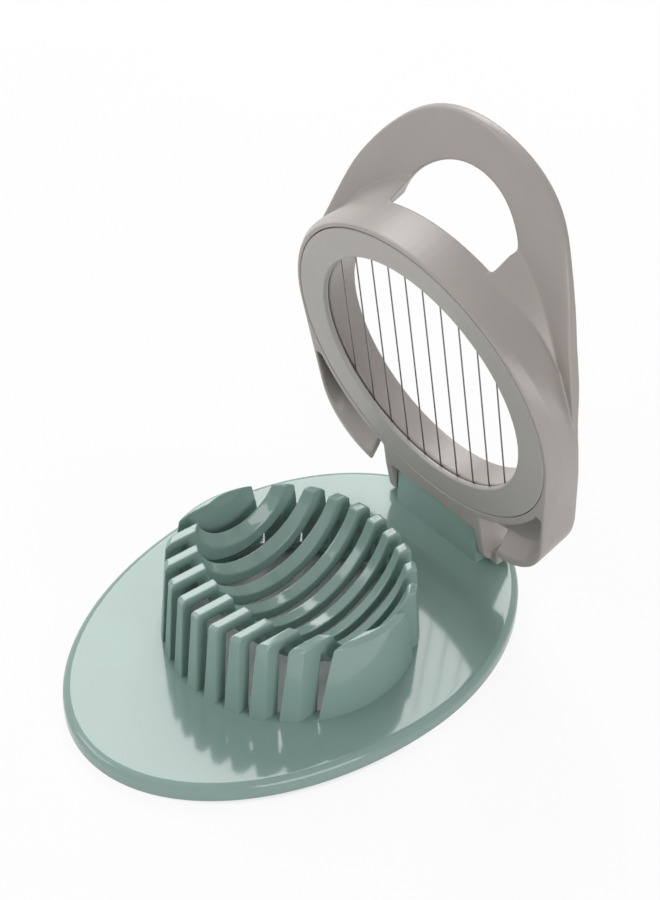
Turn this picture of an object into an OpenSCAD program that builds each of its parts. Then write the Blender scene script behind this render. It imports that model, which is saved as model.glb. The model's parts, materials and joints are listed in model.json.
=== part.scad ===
// Egg slicer: oval tray with a ribbed egg cup and a hinged cutting lid
// strung with ten steel wires. The lid stands open on its stop.
// Units are millimetres. X runs along the hinge, Y points to the hinge,
// Z is up. The origin is the middle of the tray on the table.

/* [Display] */
// which node to draw
// how far the lid stands open from its closed place, degrees
lid_open = 81.6; // [70:0.1:81.6]

/* [Tray] */
// length of the egg-shaped tray along Y
tray_length = 115; // [114:0.5:120]
// width of the tray along X
tray_width = 82.6; // [80:0.2:86]
// height of the tray over the table
tray_h = 4; // [3.6:0.1:4.4]
// wall of the tray top and of its rim
tray_wall = 2.2; // [1.6:0.1:2.6]
// how far the widest line lies behind the middle
tray_shift = 5; // [2:0.5:7]

/* [Egg cup] */
// distance from one wire slot to the next
pitch = 5.4; // [5.3:0.05:5.5]
// width of a rib at its foot
rib_foot = 3.24; // [2.9:0.02:3.3]
// width of a rib at its top
rib_top = 2.2; // [1.8:0.1:2.6]
// half width of the cup at its foot, along X
cup_a = 29.3; // [28.8:0.1:29.4]
// half depth of the cup at its foot, along Y
cup_b = 29; // [28.4:0.1:29]
// how far the cup wall leans in from foot to top
cup_draft = 1.4; // [1.4:0.1:1.8]
// wall of the outer posts
post_wall = 3.2; // [2.6:0.1:3.6]
// depth of the curved beams and of the top bars
beam_wall = 2.8; // [2.2:0.1:3.2]
// height of the cup at its front over the table
cup_h = 26.8; // [26:0.1:27]
// slope of the cup top down toward the hinge, degrees
cup_tilt = 6; // [5:0.1:7]

/* [Egg bowl] */
// half length of the egg hollow along X
egg_a = 27.1; // [26.6:0.1:27.3]
// radius of the egg hollow
egg_r = 21.1; // [20.8:0.1:21.3]
// how far the hollow lies behind the middle of the tray
egg_y = 3.2; // [3:0.05:3.9]

/* [Hinge] */
// width of the hinge block
block_w = 27; // [26.6:0.1:27]
// height of the hinge block over the tray
block_h = 10.4; // [10:0.1:10.4]
// diameter of the hinge pin
pin_d = 3; // [2.8:0.1:3.2]
// thickness of each lid ear
ear_t = 2.2; // [1.8:0.1:2.6]

/* [Lid] */
// half width of the wire opening
ring_a = 30.6; // [30.5:0.1:30.8]
// half length of the wire opening
ring_b = 29.6; // [29.6:0.05:29.8]
// width of the retainer ring
ring_w = 8; // [7.6:0.1:8.4]
// diameter of a cutting wire
wire_d = 0.36; // [0.3:0.02:0.5]
// thickness of the handle
handle_t = 2.6; // [2.4:0.1:3.4]
// height of the handle tip over the wires
handle_rise = 26; // [24:0.5:27]

/* [Hidden] */
$fn = 96;
e = 0.01;
jade = [0.60, 0.75, 0.72];
taupe = [0.62, 0.60, 0.58];
steel = [0.75, 0.75, 0.76];

// hinge axis
hinge_y = 48.6;
hinge_z = 9.9;
// the wires lie this far under the hinge axis when the lid is shut
wire_drop = 3.6;
// cup and bowl centres along Y, ring centre from the hinge
cup_y = -0.5;
egg_z = 27.45;
// bevel round the top of the cup
cup_bevel = 0.8;
// the lid is drawn shut, with its hinge axis on the origin: s runs from the
// hinge toward the handle tip and d is the height over the wires
ring_s = 49.2;
face_d = -1.4;
seat_d = wire_d / 2;
back_a = tray_length / 2 - tray_shift;
front_a = tray_length / 2 + tray_shift;
// inner face of an ear, and half the length of the pin
ear_x = block_w / 2 + 0.3;
pin_end = ear_x + ear_t - 0.8;
// half width and half length of the retainer ring
rim_a = ring_a + ring_w + 0.1;
rim_b = ring_b + ring_w - 0.7;

// ---------- tray ----------

// egg-shaped outline of the tray: two half ellipses on the widest line
module tray_outline(inset = 0) {
    translate([0, tray_shift]) {
        intersection() {
            scale([tray_width / 2 - inset, front_a - inset]) circle(r = 1, $fn = 144);
            translate([-100, -200]) square([200, 200]);
        }
        intersection() {
            scale([tray_width / 2 - inset, back_a - inset]) circle(r = 1, $fn = 144);
            translate([-100, -e]) square([200, 200]);
        }
    }
}

module ellipse(a, b) {
    scale([a, b]) circle(r = 1);
}

// ---------- egg cup ----------

// everything under the sloping top of the cup, lowered by drop
module under_cup_top(drop = 0) {
    translate([0, cup_y - cup_b, cup_h - drop])
        rotate([-cup_tilt, 0, 0])
            translate([-50, -20, -60]) cube([100, 110, 60]);
}

// round cone whose 45 degree wall bevels the outer edge of the cup top
module cup_top_cone() {
    k = cup_draft / (cup_h - tray_h);
    mid = cup_h - cup_b * tan(cup_tilt);
    r = (cup_a + cup_b) / 2 - k * (mid - tray_h) - cup_bevel;
    translate([0, cup_y, mid]) rotate([-cup_tilt, 0, 0])
        translate([0, 0, -30]) cylinder(r1 = r + 30, r2 = r - 6, h = 36, $fn = 96);
}

// leaning oval wall of the cup, foot on the tray
module cup_body(inset, z0) {
    h = 26;
    k = cup_draft / (cup_h - tray_h);
    translate([0, cup_y, z0])
        scale([cup_a - inset, cup_b - inset, 1])
            cylinder(r1 = 1 + k * (tray_h - z0) / cup_a, r2 = 1 - k * (z0 + h - tray_h) / cup_a,
                h = h, $fn = 96);
}

// egg-shaped hollow, grown by a wall
module egg(wall = 0) {
    translate([0, egg_y, egg_z])
        scale([(egg_a + wall) / (egg_r + wall), 1, 1]) sphere(r = egg_r + wall, $fn = 96);
}

// thin curved wall that the ribs are cut from: posts, top bars and bowl
module cup_wall() {
    difference() {
        intersection() {
            cup_body(0, tray_h);
            under_cup_top();
            cup_top_cone();
        }
        egg();
        difference() {
            intersection() {
                cup_body(post_wall, tray_h - 3);
                under_cup_top(beam_wall);
            }
            egg(beam_wall);
        }
    }
}

// the bowl's low point dips into the tray opening
module bowl_floor() {
    difference() {
        intersection() {
            egg(beam_wall);
            translate([-26, cup_y - 24, tray_h - 3]) cube([52, 48, 3 + e]);
        }
        egg();
    }
}

// tapered slice across the cup, from x0 to x1 at the foot
module slice(x0, x1, lean0, lean1) {
    rotate([90, 0, 0])
        linear_extrude(height = 80, center = true)
            polygon([[x0, 0], [x1, 0], [x1 - lean1 * 30, 30], [x0 + lean0 * 30, 30]]);
}

module rib(i) {
    lean = (rib_foot - rib_top) / 2 / (cup_h - tray_h);
    half = rib_foot / 2 + lean * tray_h;
    color(jade)
        intersection() {
            union() {
                cup_wall();
                bowl_floor();
            }
            translate([(i - 5) * pitch, 0, 0]) slice(-half, half, lean, lean);
        }
}

module end_block(side) {
    lean = (rib_foot - rib_top) / 2 / (cup_h - tray_h);
    x0 = 5 * pitch - rib_foot / 2 - lean * tray_h;
    color(jade)
        intersection() {
            cup_wall();
            mirror([side < 0 ? 1 : 0, 0, 0]) slice(x0, 40, lean, 0);
        }
}

module base_plate() {
    color(jade)
        difference() {
            hull() {
                linear_extrude(height = tray_h - 1.3) tray_outline();
                linear_extrude(height = tray_h - 0.5) tray_outline(0.4);
                linear_extrude(height = tray_h) tray_outline(1.3);
            }
            translate([0, 0, -e]) linear_extrude(height = tray_h - tray_wall + e) tray_outline(tray_wall);
            translate([0, cup_y, -1]) linear_extrude(height = 10)
                ellipse(cup_a - post_wall, cup_b - post_wall);
        }
}

// ---------- hinge ----------

module hinge_block() {
    front = hinge_y - 4.25;
    top = tray_h + block_h;
    r = top - hinge_z;
    color(jade)
        difference() {
            translate([-block_w / 2, 0, 0]) rotate([90, 0, 90])
                linear_extrude(height = block_w)
                    intersection() {
                        union() {
                            polygon([[front, tray_h], [hinge_y + r, tray_h], [hinge_y + r, hinge_z],
                                [hinge_y, top], [front + 0.4, top], [front, top - 0.4]]);
                            translate([hinge_y, hinge_z]) circle(r = r);
                        }
                        translate([front, 0]) square([20, top]);
                    }
            translate([-block_w, hinge_y, hinge_z]) rotate([0, 90, 0])
                cylinder(d = pin_d, h = 2 * block_w, $fn = 48);
        }
}

module hinge_pin() {
    color(steel)
        translate([-pin_end, hinge_y, hinge_z]) rotate([0, 90, 0])
            cylinder(d = pin_d, h = 2 * pin_end, $fn = 48);
}

// ---------- lid ----------

// puts a lid drawn shut round its hinge axis into its open place
module lid_place() {
    translate([0, hinge_y, hinge_z]) rotate([-lid_open, 0, 0])
        translate([0, 0, -wire_drop]) children();
}

// oval centred on the ring, semi axes a and b, from d0 up by h
module oval(a, b, d0, h) {
    translate([0, -ring_s, d0]) linear_extrude(height = h) ellipse(a, b);
}

// one level of the lid body: an oval at s and two round hinge corners
module lid_level(d, a, b, s, cx, cs, r) {
    translate([0, 0, d]) linear_extrude(height = e) {
        translate([0, -s]) ellipse(a, b);
        for (m = [-1, 1]) translate([m * cx, -cs]) circle(r = r);
    }
}

// sloping plane that the back of the ring wall ends on
module on_back_plane() {
    translate([0, -49.4, 7.9]) rotate([-1.2, 0, 0]) children();
}

// domed body round the ring, lofted from its lip to its back
module lid_body() {
    hull() {
        lid_level(face_d, 39.6, 38.2, 49.4, 18.4, 20.8, 17.9);
        lid_level(1.3, 42, 38, 48.5, 19.4, 24.5, 18.6);
        lid_level(4.4, 43.4, 37, 47.9, 21.6, 31.5, 20);
        on_back_plane() linear_extrude(height = e) ellipse(40, 38.4);
    }
}

// side line of the handle: [distance from the hinge, height over the wires]
side_line = [[29.5, 4.4], [45.5, 4.4], [55.5, 6], [65.5, 10.2], [76.5, 13.8], [87.5, 18.4],
    [96.5, handle_rise - 2.7], [103.5, handle_rise - 0.5], [111.5, handle_rise + 0.2]];

// smooth curve through the points of p
function curve_point(a, b, c, d, t) =
    0.5 * (2 * b + (c - a) * t + (2 * a - 5 * b + 4 * c - d) * t * t + (3 * b - a - 3 * c + d) * t * t * t);
function curve(p, n) = concat([for (i = [0:len(p) - 2]) for (k = [0:n - 1])
    curve_point(p[max(i - 1, 0)], p[i], p[i + 1], p[min(i + 2, len(p) - 1)], k / n)], [p[len(p) - 1]]);

// everything t deep under the side line, across the lid; it thins out to
// nothing where the handle runs into the body
module side_shape(t) {
    line = curve(side_line, 4);
    n = len(line) - 1;
    rotate([90, 0, -90])
        linear_extrude(height = 100, center = true)
            polygon(concat(line, [for (k = [n:-1:0])
                [line[k][0], line[k][1] - t * max(0.1, min(1, (line[k][0] - 45.5) / 20))]]));
}

// handle seen from above: it leaves the body's sides and closes in a bow
module handle_outline() {
    difference() {
        hull() {
            translate([0, -47.5]) ellipse(43.4, 36.5);
            translate([0, -62]) ellipse(37.2, 44.4);
        }
        translate([-60, -49.5]) square([120, 60]);
    }
}

// ring wall carried up to the underside of the handle, flaring a little
module flare() {
    translate([0, -49.4, 4]) cylinder(r1 = 37.9, r2 = 41.3, h = 13, $fn = 120);
    translate([0, -49.4, 17]) cylinder(r = 41.3, h = 20, $fn = 120);
}

// opening for the fingers between the ring wall and the bow
module finger_gap() {
    translate([0, -76.1, 4]) cylinder(r1 = 17.2, r2 = 19.3, h = 13);
    translate([0, -76.1, 17 - e]) cylinder(r = 19.3, h = 30);
}

module handle() {
    difference() {
        intersection() {
            translate([0, 0, -5]) linear_extrude(height = 50) handle_outline();
            union() {
                side_shape(handle_t);
                intersection() {
                    side_shape(30);
                    flare();
                    translate([-50, -99.5, -1]) cube([100, 46, 40]);
                }
            }
        }
        on_back_plane() linear_extrude(height = 40) ellipse(37.6, 36);
        finger_gap();
    }
}

// deep crescent pockets between the ring wall and the skirt; each is open
// toward the hinge beside its ear
module pockets() {
    difference() {
        hull() {
            lid_level(face_d - 1, 38, 36.6, 49.4, 18.4, 20.8, 16.3);
            lid_level(3, 41.2, 35.8, 48.2, 20.6, 28.3, 17.8);
        }
        translate([0, -49.4, face_d - 3]) linear_extrude(height = 20) ellipse(40.6, 39.5);
        translate([-ear_x - ear_t, -60, -10]) cube([2 * (ear_x + ear_t), 60, 30]);
        translate([-60, -129.5, -10]) cube([120, 100, 30]);
    }
    for (m = [0, 1]) mirror([m, 0, 0])
        translate([ear_x + ear_t, -11.5, face_d - 1]) cube([21 - ear_x - ear_t, 12, 4 - face_d]);
}

// ear beside the hinge block, with the heel that stops the open lid and a
// square lug outside it
module ear() {
    translate([ear_x, 0, 0]) {
        hull() {
            translate([0, 0, wire_drop]) rotate([0, 90, 0]) cylinder(r = 4.6, h = ear_t, $fn = 64);
            translate([0, -12, face_d]) cube([ear_t, 5, 5.8]);
        }
        translate([0, 0, wire_drop]) rotate([lid_open - 90, 0, 0]) {
            cube([ear_t, hinge_z - tray_h - 0.1, 3.4]);
            translate([0, 0.7, -2.2]) cube([ear_t + 2.2, 3.9, 4.3]);
        }
    }
}

module lid_shell() {
    color(taupe) lid_place()
        difference() {
            union() {
                difference() {
                    union() {
                        lid_body();
                        translate([-ear_x - 1, -14, face_d]) cube([2 * ear_x + 2, 6.7, 5.8]);
                    }
                    on_back_plane() linear_extrude(height = 40) ellipse(50, 50);
                    pockets();
                    for (m = [0, 1]) mirror([m, 0, 0])
                        translate([ear_x, -6, -20]) cube([7, 20, 40]);
                }
                handle();
                ear();
                mirror([1, 0, 0]) ear();
            }
            oval(ring_a, ring_b, -10, 60);
            oval(rim_a, rim_b + 0.3, face_d - 1, 1 - face_d + seat_d);
            translate([-ear_x, -7.3, -20]) cube([2 * ear_x, 20, 50]);
            translate([-pin_end - 0.2, 0, wire_drop]) rotate([0, 90, 0])
                cylinder(d = pin_d + 0.12, h = 2 * pin_end + 0.4, $fn = 48);
        }
}

// flat ring that clamps the wires against the shell, its opening eased in front
module retainer_ring() {
    color(taupe) lid_place()
        difference() {
            oval(rim_a, rim_b, face_d, seat_d - face_d);
            oval(ring_a, ring_b, face_d - 1, 5);
            translate([0, -ring_s, face_d - e]) scale([ring_a, ring_b, 1])
                cylinder(r1 = 1 + 0.4 / ring_a, r2 = 1, h = 0.5, $fn = 96);
            oval(rim_a - 2, rim_b - 2, -seat_d, 5);
        }
}

// straight wire number j of ten, gripped at both ends
module wire(j) {
    x = (j - 5.5) * pitch;
    half = (rim_b - 2.6) * sqrt(1 - pow(x / (rim_a - 2.6), 2));
    color(steel) lid_place()
        translate([x, -ring_s + half, 0]) rotate([90, 0, 0]) cylinder(d = wire_d, h = 2 * half, $fn = 16);
}

base_plate();
hinge_block();
hinge_pin();
rib(1);  // rib_1
rib(2);  // rib_2
rib(3);  // rib_3
rib(4);  // rib_4
rib(5);  // rib_5
rib(6);  // rib_6
rib(7);  // rib_7
rib(8);  // rib_8
rib(9);  // rib_9
end_block(-1);  // end_block_left
end_block(1);  // end_block_right
lid_shell();
retainer_ring();
wire(1);  // wire_01
wire(2);  // wire_02
wire(3);  // wire_03
wire(4);  // wire_04
wire(5);  // wire_05
wire(6);  // wire_06
wire(7);  // wire_07
wire(8);  // wire_08
wire(9);  // wire_09
wire(10);  // wire_10
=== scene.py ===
import json
import math

import bmesh
import bpy
import numpy as np
import openvdb as vdb
from mathutils import Matrix, Vector


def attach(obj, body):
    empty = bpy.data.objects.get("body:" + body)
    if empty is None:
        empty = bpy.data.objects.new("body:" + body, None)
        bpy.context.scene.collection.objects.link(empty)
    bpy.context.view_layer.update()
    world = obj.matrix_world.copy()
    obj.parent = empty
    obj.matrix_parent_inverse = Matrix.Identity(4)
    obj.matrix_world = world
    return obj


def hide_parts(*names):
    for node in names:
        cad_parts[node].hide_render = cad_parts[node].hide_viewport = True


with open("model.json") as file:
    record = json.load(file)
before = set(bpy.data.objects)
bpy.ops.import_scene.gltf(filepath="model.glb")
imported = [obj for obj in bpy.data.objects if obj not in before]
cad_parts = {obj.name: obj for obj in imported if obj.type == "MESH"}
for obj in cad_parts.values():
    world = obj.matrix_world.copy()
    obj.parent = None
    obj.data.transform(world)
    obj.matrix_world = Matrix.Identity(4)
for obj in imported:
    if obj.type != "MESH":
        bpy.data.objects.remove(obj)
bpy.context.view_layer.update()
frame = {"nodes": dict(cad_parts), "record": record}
scene = bpy.context.scene

# ---------- the part's own sizes, in mm as in part.scad ----------

MM = 1000.0
DECIMALS = 4
RIBS = 9
TRAY_WIDTH, TRAY_LENGTH, TRAY_H = 82.6, 115.0, 4.0

# The plate is widest this far behind its middle.
TRAY_SHIFT = 5.0

# The hole in the plate is the cradle's outline less the wall of its posts.
CUP_Y = -0.5
POST_WALL = 3.2
HOLE_A, HOLE_B = 29.3 - POST_WALL, 29 - POST_WALL

# The hinge's place on Y and Z and the lid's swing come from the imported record.
LID_HINGE = frame["record"]["behaviour"]["joints"][0]
HINGE = np.round(np.array(LID_HINGE["pos_m"][1:]) * MM, DECIMALS)
OPEN = math.radians(LID_HINGE["range_deg"][1])

# The wires of the shut lid lie this far under the hinge.
WIRE_DROP = 3.6

# The inner face of an ear and its thickness, along the hinge.
EAR_X, EAR_T = 13.8, 2.2


def added(name, data):
    """A new object in the scene."""
    obj = bpy.data.objects.new(name, data)
    scene.collection.objects.link(obj)
    return obj


# ---------- camera ----------

# Place in metres, angles in degrees and lens in mm, fitted to points measured in the photo.
CAMERA_PLACE = (0.34520, -0.30401, 0.49799)
AZIMUTH, ELEVATION, ROLL = 47.645, 43.719, 0.965
LENS = 119.876

# The width that the lens is fitted for, in mm, and how near and far the camera sees, in metres.
SENSOR = 36
NEAREST, FARTHEST = 0.01, 20


def place_camera():
    az, el, roll = (math.radians(a) for a in (AZIMUTH, ELEVATION, ROLL))
    back = Vector((math.sin(az) * math.cos(el), -math.cos(az) * math.cos(el), math.sin(el)))
    right = Vector((math.cos(az), math.sin(az), 0))
    up = back.cross(right)
    x_axis = math.cos(roll) * right + math.sin(roll) * up
    y_axis = math.cos(roll) * up - math.sin(roll) * right
    data = bpy.data.cameras.new("camera")
    data.sensor_width = SENSOR
    data.lens = LENS
    data.clip_start = NEAREST
    data.clip_end = FARTHEST
    cam = added("camera", data)
    turn = Matrix((x_axis, y_axis, back)).transposed().to_4x4()
    cam.matrix_world = Matrix.Translation(CAMERA_PLACE) @ turn
    scene.camera = cam


# ---------- materials ----------

# A noise's values run mostly between these two.
NOISE_LOW, NOISE_HIGH = 0.3, 0.7

# The grain of satin plastic: its fineness, and its depth in metres.
GRAIN_SCALE, GRAIN_DEPTH = 2500, 0.00005

# How much the gloss varies over a moulding and over a drawn wire, as a share.
PLASTIC_GLOSS_VARY, STEEL_GLOSS_VARY = 0.07, 0.3

# Gloss varies in patches this many times finer than the clouds in a plastic's colour.
GLOSS_FINER = 6

# The lines along a drawn wire: their fineness, and the colour of the dark ones as a share.
LINES_SCALE, LINES_DARK = 900, 0.9


def node_material(name):
    mat = bpy.data.materials.new(name)
    mat.use_nodes = True
    tree = mat.node_tree
    tree.nodes.clear()
    out = tree.nodes.new("ShaderNodeOutputMaterial")
    return mat, tree, out


def object_coords(tree):
    return tree.nodes.new("ShaderNodeTexCoord").outputs["Object"]


def stretched(tree, coords, scale):
    node = tree.nodes.new("ShaderNodeMapping")
    node.inputs["Scale"].default_value = scale
    tree.links.new(coords, node.inputs["Vector"])
    return node.outputs["Vector"]


def noise(tree, coords, scale, detail=3):
    node = tree.nodes.new("ShaderNodeTexNoise")
    node.inputs["Scale"].default_value = scale
    node.inputs["Detail"].default_value = detail
    tree.links.new(coords, node.inputs["Vector"])
    return node.outputs["Fac"]


def tinted(tree, fac, dark, light):
    """A colour that runs from dark to light over a noise's usual values."""
    node = tree.nodes.new("ShaderNodeValToRGB")
    stops = node.color_ramp.elements
    stops[0].position = NOISE_LOW
    stops[0].color = (*dark, 1)
    stops[1].position = NOISE_HIGH
    stops[1].color = (*light, 1)
    tree.links.new(fac, node.inputs["Fac"])
    return node.outputs["Color"]


def span(tree, fac, low, high):
    node = tree.nodes.new("ShaderNodeMapRange")
    node.inputs["To Min"].default_value = low
    node.inputs["To Max"].default_value = high
    tree.links.new(fac, node.inputs["Value"])
    return node.outputs["Result"]


def surface(tree, out, tint, shine):
    bsdf = tree.nodes.new("ShaderNodeBsdfPrincipled")
    tree.links.new(tint, bsdf.inputs["Base Color"])
    tree.links.new(shine, bsdf.inputs["Roughness"])
    tree.links.new(bsdf.outputs["BSDF"], out.inputs["Surface"])
    return bsdf


def plastic(name, colour, rough, grain=0.0, vary=0.03, scale=60, ior=1.5, flow=(1, 1, 1)):
    """Moulded plastic: faint clouds or streaks in the colour, uneven gloss and a fine grain."""
    mat, tree, out = node_material(name)
    at = object_coords(tree)
    clouds = noise(tree, stretched(tree, at, flow), scale)
    dark = tuple(c * (1 - vary) for c in colour)
    light = tuple(min(1, c * (1 + vary)) for c in colour)
    tint = tinted(tree, clouds, dark, light)
    gloss = noise(tree, at, scale * GLOSS_FINER, detail=4)
    low, high = rough * (1 - PLASTIC_GLOSS_VARY), rough * (1 + PLASTIC_GLOSS_VARY)
    bsdf = surface(tree, out, tint, span(tree, gloss, low, high))
    bsdf.inputs["IOR"].default_value = ior
    if grain:
        bump = tree.nodes.new("ShaderNodeBump")
        bump.inputs["Strength"].default_value = grain
        bump.inputs["Distance"].default_value = GRAIN_DEPTH
        tree.links.new(noise(tree, at, GRAIN_SCALE, detail=2), bump.inputs["Height"])
        tree.links.new(bump.outputs["Normal"], bsdf.inputs["Normal"])
    return mat


def metal(name, colour, rough, along):
    """Drawn steel: fine lines along the wire in its colour and gloss."""
    mat, tree, out = node_material(name)
    lines = noise(tree, stretched(tree, object_coords(tree), along), LINES_SCALE)
    tint = tinted(tree, lines, tuple(c * LINES_DARK for c in colour), colour)
    low, high = rough * (1 - STEEL_GLOSS_VARY), rough * (1 + STEEL_GLOSS_VARY)
    bsdf = surface(tree, out, tint, span(tree, lines, low, high))
    bsdf.inputs["Metallic"].default_value = 1
    return mat


def srgb(r, g, b):
    """0 to 255 as linear light."""
    def lin(c):
        c /= 255
        return c / 12.92 if c <= 0.04045 else ((c + 0.055) / 1.055) ** 2.4
    return (lin(r), lin(g), lin(b))


def wear(obj, mat):
    obj.data.materials.clear()
    obj.data.materials.append(mat)


# ---------- floor, world and lamps ----------

# The floor is a little under the part, so that the two never share a face. In metres.
FLOOR_HALF, FLOOR_DROP = 4, 0.0003
PAPER_DARK, PAPER_LIGHT = (0.86, 0.86, 0.87), (0.9, 0.9, 0.9)
PAPER_SCALE = 12

# The paper's glow starts at this share of the tray's reach and is full at the tray's edge.
GLOW_FROM, GLOW = 0.9, 0.9

# The world's light is strongest from this side.
LIGHT_SIDE = (-0.68, -0.28, 0.68)

# The cosine to that side where the light is least and where it is most, and how strong it is there.
DARK_COSINE, BRIGHT_COSINE = -0.6, 1
LEAST_LIGHT, MOST_LIGHT = 0.05, 0.72

# The lamps are square, this wide, in metres.
LAMP_WIDTH = 0.5


def seen_white(tree):
    """1 for rays that show the backdrop: camera, mirror and glass rays."""
    path = tree.nodes.new("ShaderNodeLightPath")
    camera_or_mirror = tree.nodes.new("ShaderNodeMath")
    camera_or_mirror.operation = "MAXIMUM"
    tree.links.new(path.outputs["Is Camera Ray"], camera_or_mirror.inputs[0])
    tree.links.new(path.outputs["Is Glossy Ray"], camera_or_mirror.inputs[1])
    any_seen = tree.nodes.new("ShaderNodeMath")
    any_seen.operation = "MAXIMUM"
    tree.links.new(camera_or_mirror.outputs[0], any_seen.inputs[0])
    tree.links.new(path.outputs["Is Transmission Ray"], any_seen.inputs[1])
    return any_seen.outputs[0]


def clear_of_tray(tree, at):
    """0 under the tray, where the paper is only lit by what reaches it, and GLOW round it."""
    outline = stretched(tree, at, (MM / (TRAY_WIDTH / 2), MM / (TRAY_LENGTH / 2), 0))
    length = tree.nodes.new("ShaderNodeVectorMath")
    length.operation = "LENGTH"
    tree.links.new(outline, length.inputs[0])
    edge = tree.nodes.new("ShaderNodeMapRange")
    edge.inputs["From Min"].default_value = GLOW_FROM
    edge.inputs["To Max"].default_value = GLOW
    tree.links.new(length.outputs["Value"], edge.inputs["Value"])
    return edge.outputs["Result"]


def make_floor():
    """White paper that glows where it is seen and still takes the part's shadow."""
    mesh = bpy.data.meshes.new("floor")
    bm = bmesh.new()
    corners = ((-1, -1), (1, -1), (1, 1), (-1, 1))
    bm.faces.new([bm.verts.new((x * FLOOR_HALF, y * FLOOR_HALF, -FLOOR_DROP)) for x, y in corners])
    bm.to_mesh(mesh)
    bm.free()
    floor = added("floor", mesh)
    mat, tree, out = node_material("floor_paper")
    at = object_coords(tree)
    tint = tinted(tree, noise(tree, at, PAPER_SCALE), PAPER_DARK, PAPER_LIGHT)
    paper = tree.nodes.new("ShaderNodeBsdfDiffuse")
    tree.links.new(tint, paper.inputs["Color"])
    glow = tree.nodes.new("ShaderNodeEmission")
    share = tree.nodes.new("ShaderNodeMath")
    share.operation = "MULTIPLY"
    tree.links.new(seen_white(tree), share.inputs[0])
    tree.links.new(clear_of_tray(tree, at), share.inputs[1])
    mix = tree.nodes.new("ShaderNodeMixShader")
    tree.links.new(share.outputs[0], mix.inputs["Fac"])
    tree.links.new(paper.outputs["BSDF"], mix.inputs[1])
    tree.links.new(glow.outputs["Emission"], mix.inputs[2])
    tree.links.new(mix.outputs["Shader"], out.inputs["Surface"])
    wear(floor, mat)


def make_world():
    """White where it is seen; its light comes mostly from the left and above."""
    world = bpy.data.worlds.new("studio")
    scene.world = world
    world.use_nodes = True
    tree = world.node_tree
    tree.nodes.clear()
    out = tree.nodes.new("ShaderNodeOutputWorld")
    backdrop = tree.nodes.new("ShaderNodeBackground")
    way = tree.nodes.new("ShaderNodeTexCoord")
    side = tree.nodes.new("ShaderNodeVectorMath")
    side.operation = "DOT_PRODUCT"
    side.inputs[1].default_value = LIGHT_SIDE
    tree.links.new(way.outputs["Generated"], side.inputs[0])
    soft = tree.nodes.new("ShaderNodeMapRange")
    soft.inputs["From Min"].default_value = DARK_COSINE
    soft.inputs["From Max"].default_value = BRIGHT_COSINE
    soft.inputs["To Min"].default_value = LEAST_LIGHT
    soft.inputs["To Max"].default_value = MOST_LIGHT
    tree.links.new(side.outputs["Value"], soft.inputs["Value"])
    level = tree.nodes.new("ShaderNodeMapRange")
    tree.links.new(seen_white(tree), level.inputs["Value"])
    tree.links.new(soft.outputs["Result"], level.inputs["To Min"])
    tree.links.new(level.outputs["Result"], backdrop.inputs["Strength"])
    tree.links.new(backdrop.outputs["Background"], out.inputs["Surface"])


def lamp(name, place, target, power):
    data = bpy.data.lights.new(name, "AREA")
    data.shape = "RECTANGLE"
    data.size = LAMP_WIDTH
    data.size_y = LAMP_WIDTH
    data.energy = power
    obj = added(name, data)
    obj.location = place
    look = Vector(target) - Vector(place)
    obj.rotation_euler = look.to_track_quat("-Z", "Y").to_euler()


# ---------- rounded edges ----------

# A rounding reaches this many spreads, and the field this much further, in mm.
SPREADS, FIELD_MARGIN = 3, 0.3

# Cells added round that reach, to the field's band and to its block.
BAND_CELLS, PAD_CELLS = 3, 5

# The last place in a block that still has a cell after it, counted back from its size.
LAST_PLACE = 1.001

TINY = 1e-6

# The wave that is laid over a surface while it is thinned: radians per mm, and mm.
WAVE_TURN, WAVE_HEIGHT = 1.6, 0.012


def triangles_of(obj):
    """A CAD node's corners in mm and its triangles."""
    mesh = obj.data
    mesh.calc_loop_triangles()
    points = np.empty(len(mesh.vertices) * 3, np.float32)
    mesh.vertices.foreach_get("co", points)
    tris = np.empty(len(mesh.loop_triangles) * 3, np.int32)
    mesh.loop_triangles.foreach_get("vertices", tris)
    points = np.round(points.reshape(-1, 3) * MM, DECIMALS)
    points, back = np.unique(points, axis=0, return_inverse=True)
    tris = back.ravel()[tris].reshape(-1, 3)
    a, b, c = tris.T
    tris = tris[(a != b) & (b != c) & (a != c)]
    return points.astype(np.float32), tris.astype(np.uint32)


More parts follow.
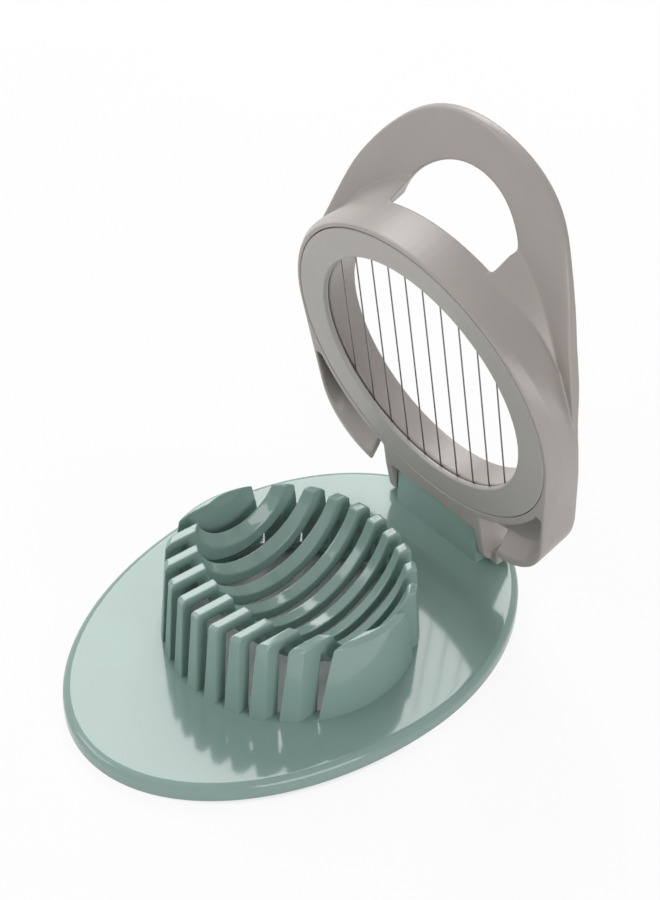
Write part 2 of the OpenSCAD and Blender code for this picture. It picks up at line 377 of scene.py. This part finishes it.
class Field:
    """Signed distance to a solid, in mm, on a block of small cells."""

    def __init__(self, values, low, cell):
        self.values = values
        self.low = np.array(low)
        self.cell = cell

    @classmethod
    def around(cls, points, tris, cell, reach):
        """The field of a closed mesh, out to a reach from its surface."""
        grid = vdb.FloatGrid.createLevelSetFromPolygons(
            points,
            triangles=tris,
            transform=vdb.createLinearTransform(cell),
            halfWidth=reach / cell + BAND_CELLS,
        )
        pad = int(reach / cell) + PAD_CELLS
        low = np.floor(points.min(0) / cell).astype(int) - pad
        shape = np.ceil(points.max(0) / cell).astype(int) + pad - low
        values = np.full(tuple(int(n) for n in shape), grid.background, np.float32)
        grid.copyToArray(values, ijk=tuple(int(n) for n in low))
        return cls(values, low, cell)

    def places(self, axis):
        """The cells' places along an axis, in mm."""
        return self.low[axis] * self.cell + np.arange(self.values.shape[axis]) * self.cell

    def skin(self):
        """Corners and triangles of the surface."""
        grid = vdb.FloatGrid(float(np.abs(self.values).max()))
        grid.copyFromArray(self.values, ijk=tuple(int(n) for n in self.low))
        grid.transform = vdb.createLinearTransform(self.cell)
        points, quads = grid.convertToQuads(0.0)
        tris = np.vstack([quads[:, [0, 1, 2]], quads[:, [0, 2, 3]]])
        return points.astype(np.float32), tris.astype(np.uint32)

    def rounded(self, spread):
        """The field softened over a width: flat faces stay where they are and edges round off."""
        reach = math.ceil(SPREADS * spread / self.cell)
        steps = range(-reach, reach + 1)
        weights = np.array([math.exp(-0.5 * (k * self.cell / spread) ** 2) for k in steps])
        values = self.values
        for axis in range(3):
            soft = np.zeros_like(values)
            for k, w in zip(steps, weights / weights.sum()):
                soft += np.float32(w) * np.roll(values, k, axis=axis)
            values = soft
        return Field(values, self.low, self.cell)

    def at(self, points):
        """The field's values at points in mm, which may lie between its cells."""
        q = points / self.cell - self.low
        q = np.clip(q, 0, np.array(self.values.shape) - LAST_PLACE)
        i = q.astype(int)
        f = q - i
        out = 0
        for dx in (0, 1):
            for dy in (0, 1):
                for dz in (0, 1):
                    w = (
                        (f[:, 0] if dx else 1 - f[:, 0])
                        * (f[:, 1] if dy else 1 - f[:, 1])
                        * (f[:, 2] if dz else 1 - f[:, 2])
                    )
                    out = out + w * self.values[i[:, 0] + dx, i[:, 1] + dy, i[:, 2] + dz]
        return out

    def normals(self, points):
        """The ways out of the solid at points, each of length 1."""
        n = np.empty_like(points)
        for k in range(3):
            step = np.zeros(3, np.float32)
            step[k] = self.cell
            n[:, k] = self.at(points + step) - self.at(points - step)
        return n / np.maximum(np.linalg.norm(n, axis=1, keepdims=True), TINY)


def waved(points):
    """How far a faint wave moves each point, in mm."""
    wave = np.sin(WAVE_TURN * points)
    return WAVE_HEIGHT * (wave[:, [1, 2, 0]] + wave[:, [2, 0, 1]])


def thinned(points, tris, share):
    """The same surface with fewer triangles; the wave keeps flat faces from turning into needles."""
    mesh = bpy.data.meshes.new("thin")
    mesh.from_pydata((points + waved(points)).tolist(), [], tris.tolist())
    obj = added("thin", mesh)
    mod = obj.modifiers.new("thin", "DECIMATE")
    mod.ratio = share
    ready = obj.evaluated_get(bpy.context.evaluated_depsgraph_get()).to_mesh()
    ready.calc_loop_triangles()
    fewer = np.empty(len(ready.vertices) * 3, np.float32)
    ready.vertices.foreach_get("co", fewer)
    faces = np.empty(len(ready.loop_triangles) * 3, np.int32)
    ready.loop_triangles.foreach_get("vertices", faces)
    bpy.data.objects.remove(obj)
    bpy.data.meshes.remove(mesh)
    fewer = fewer.reshape(-1, 3)
    return fewer - waved(fewer), faces.reshape(-1, 3)


# ---------- the moulded pieces ----------

# The outline of a foot is read this far above the plate, and the foot runs this deep into it.
FOOT_ABOVE, FOOT_DEPTH = 0.5, 1.4

# The plug that fills an ear's bore is wider than the bore.
PLUG_R = 2.2

# The handle's softer edges set in over these distances from the hinge, and these heights over the wires.
HANDLE_ALONG, HANDLE_HEIGHT = (72, 80), (13, 17)

# A field's value well outside the solid.
FAR = 99


def grown_down(field, name):
    """A piece that stands on the plate runs on a little into it, so its foot stays crisp."""
    x, y, z = (field.places(k) for k in range(3))
    above = int(np.searchsorted(z, TRAY_H + FOOT_ABOVE))
    foot = np.maximum(field.values[:, :, above, None], (TRAY_H - FOOT_DEPTH - z)[None, None, :])
    if name != "hinge_block":
        # The cradle's feet stay out of the hole in the plate.
        in_hole = (x[:, None] / HOLE_A) ** 2 + ((y[None, :] - CUP_Y) / HOLE_B) ** 2 < 1
        foot[in_hole] = FAR
    foot[:, :, above:] = FAR
    field.values = np.minimum(field.values, foot).astype(np.float32)


def fill_bores(field):
    """The pin hides the blind bores in the ears, so the thin wall behind each is kept whole."""
    x, y, z = (field.places(k) for k in range(3))
    sides = np.hypot(y[:, None] - HINGE[0], z[None, :] - HINGE[1]) - PLUG_R
    ends = np.maximum(EAR_X - np.abs(x), np.abs(x) - EAR_X - EAR_T)
    plugs = np.maximum(ends[:, None, None], sides[None])
    field.values = np.minimum(field.values, plugs).astype(np.float32)


def on_lid(y, z):
    """Distance from the hinge and height over the wires, of places on the open lid."""
    u, w = y - HINGE[0], z - HINGE[1]
    along = -u * math.cos(OPEN) + w * math.sin(OPEN)
    height = u * math.sin(OPEN) + w * math.cos(OPEN) + WIRE_DROP
    return along, height


def ease(x, low, high):
    """0 up to low, 1 from high on, and smooth between them."""
    t = np.clip((x - low) / (high - low), 0, 1)
    return t * t * (3 - 2 * t)


def soften_handle(field, spread, handle):
    """The handle's edges round off over a width of their own, the rest of the lid's over spread."""
    soft = field.rounded(math.sqrt(handle**2 - spread**2))
    y, z = (field.places(k).astype(np.float32) for k in (1, 2))
    along, height = on_lid(y[None, :, None], z[None, None, :])
    part = ease(along, *HANDLE_ALONG) * ease(height, *HANDLE_HEIGHT)
    field.values = (field.values * (1 - part) + soft.values * part).astype(np.float32)


def new_piece(name, points, tris, normals, material, body):
    """A smooth mesh that stands for a CAD node; points in mm."""
    mesh = bpy.data.meshes.new(name + "_moulded")
    mesh.vertices.add(len(points))
    mesh.vertices.foreach_set("co", (points / MM).ravel().astype(np.float32))
    mesh.loops.add(len(tris) * 3)
    mesh.loops.foreach_set("vertex_index", tris.ravel().astype(np.int32))
    mesh.polygons.add(len(tris))
    mesh.polygons.foreach_set("loop_start", np.arange(0, len(tris) * 3, 3, dtype=np.int32))
    mesh.polygons.foreach_set("use_smooth", [True] * len(tris))
    mesh.update(calc_edges=True)
    mesh.validate()
    mesh.normals_split_custom_set_from_vertices(normals.tolist())
    piece = added(name + "_moulded", mesh)
    mesh.materials.append(material)
    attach(piece, body)
    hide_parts(name)


def moulded(name, material, body, cell, spread, share, handle=None, twin=None):
    """The node again with its edges rounded as a moulding's are, and its mirrored twin.

    Edges round off over spread, and over handle on the lid's handle. share is the share of
    triangles that is kept.
    """
    points, tris = triangles_of(frame["nodes"][name])
    field = Field.around(points, tris, cell, SPREADS * (handle or spread) + FIELD_MARGIN)
    if body == "tray":
        grown_down(field, name)
    if name == "lid_shell":
        fill_bores(field)
    field = field.rounded(spread)
    if handle:
        soften_handle(field, spread, handle)
    skin, faces = thinned(*field.skin(), share)
    normals = field.normals(skin)
    skin = skin - field.at(skin)[:, None] * normals
    a, b, c = skin[faces[:, 0]], skin[faces[:, 1]], skin[faces[:, 2]]
    if np.mean(np.einsum("ij,ij->i", np.cross(b - a, c - a), normals[faces[:, 0]])) < 0:
        faces = faces[:, ::-1]
    new_piece(name, skin, faces, normals, material, body)
    if twin:
        flip = np.array((-1, 1, 1), np.float32)
        new_piece(twin, skin * flip, faces[:, ::-1], normals * flip, material, body)


# ---------- the plate ----------

# The plate's section as inset from its outline and height: over the rim, then back below.
RIM = (
    (0.12, 0), (0, 0.12), (0, 1.2), (0, 2.3), (0.05, 2.72), (0.19, 3.1), (0.42, 3.43),
    (0.74, 3.7), (1.12, 3.88), (1.55, 3.98), (2, 4), (2.5, 4), (6, 4),
)
UNDERSIDE = ((2.6, 1.8), (2.2, 1.6), (2.2, 0.1), (2.1, 0))

# The same down the edge of the hole, as growth from the hole's outline and height.
HOLE_EDGE = ((1, 4), (0.5, 4), (0.18, 3.93), (0.04, 3.75), (0, 3.5), (0, 2.2), (0, 1.8))

# Points round each ring, and the least angle in degrees that stays a sharp edge.
RING_POINTS, SHARP_ANGLE = 288, 40


def oval(half_x, front, back, middle, z):
    """Points round an oval at a height, whose front and back halves have a length each."""
    ring = []
    for k in range(RING_POINTS):
        t = 2 * math.pi * k / RING_POINTS
        half_y = front if math.sin(t) < 0 else back
        ring.append((half_x * math.cos(t), middle + half_y * math.sin(t), z))
    return ring


def plate_ring(inset, z):
    front = TRAY_LENGTH / 2 + TRAY_SHIFT - inset
    back = TRAY_LENGTH / 2 - TRAY_SHIFT - inset
    return oval(TRAY_WIDTH / 2 - inset, front, back, TRAY_SHIFT, z)


def hole_ring(grow, z):
    return oval(HOLE_A + grow, HOLE_B + grow, HOLE_B + grow, CUP_Y, z)


def make_plate(material):
    """The tray top with a rounded rim, lofted ring by ring."""
    rings = [plate_ring(inset, z) for inset, z in RIM]
    rings += [hole_ring(grow, z) for grow, z in HOLE_EDGE]
    rings += [plate_ring(inset, z) for inset, z in UNDERSIDE]
    bm = bmesh.new()
    loops = [[bm.verts.new([c / MM for c in p]) for p in ring] for ring in rings]
    for a, b in zip(loops, loops[1:] + loops[:1]):
        for k in range(RING_POINTS):
            j = (k + 1) % RING_POINTS
            bm.faces.new((a[k], a[j], b[j], b[k]))
    bmesh.ops.recalc_face_normals(bm, faces=bm.faces)
    mesh = bpy.data.meshes.new("base_plate_moulded")
    bm.to_mesh(mesh)
    bm.free()
    piece = added("base_plate_moulded", mesh)
    mesh.polygons.foreach_set("use_smooth", [True] * len(mesh.polygons))
    mesh.set_sharp_from_angle(angle=math.radians(SHARP_ANGLE))
    mesh.materials.append(material)
    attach(piece, "tray")
    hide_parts("base_plate")


# ---------- the scene ----------

place_camera()
make_world()
make_floor()

teal = plastic("teal_plastic", srgb(140, 166, 159), rough=0.1, vary=0.02, ior=1.52)
taupe = plastic(
    "taupe_plastic", srgb(171, 164, 159), rough=0.34, vary=0.05, scale=50, flow=(1, 1, 0.3)
)
ring_grey = plastic("ring_plastic", srgb(174, 170, 164), rough=0.34, grain=0.2)
steel = metal("drawn_steel", colour=(0.3, 0.29, 0.28), rough=0.25, along=(1, 1, 0.04))

make_plate(teal)
rib_mould = {"cell": 0.14, "spread": 0.2, "share": 0.3}
for k in range(1, RIBS // 2 + 1):
    moulded("rib_%d" % k, teal, "tray", twin="rib_%d" % (RIBS + 1 - k), **rib_mould)
moulded("rib_%d" % (RIBS // 2 + 1), teal, "tray", **rib_mould)
moulded("end_block_left", teal, "tray", cell=0.11, spread=0.13, share=0.3, twin="end_block_right")
moulded("hinge_block", teal, "tray", cell=0.15, spread=0.24, share=0.3)
moulded("lid_shell", taupe, "lid", cell=0.2, spread=0.23, share=0.22, handle=0.5)
moulded("retainer_ring", ring_grey, "lid", cell=0.16, spread=0.16, share=0.35)

for name, obj in frame["nodes"].items():
    if name.startswith("wire_") or name == "hinge_pin":
        wear(obj, steel)
        for p in obj.data.polygons:
            p.use_smooth = True

lamp("key", place=(-0.48, 0.44, 0.62), target=(0, 0, 0.03), power=4.3)
lamp("front", place=(-0.5, -0.6, 0.52), target=(0, 0, 0.04), power=2.1)
lamp("fill", place=(0.8, -0.12, 0.34), target=(0, 0, 0.04), power=3.0)

scene.view_settings.view_transform = "Standard"
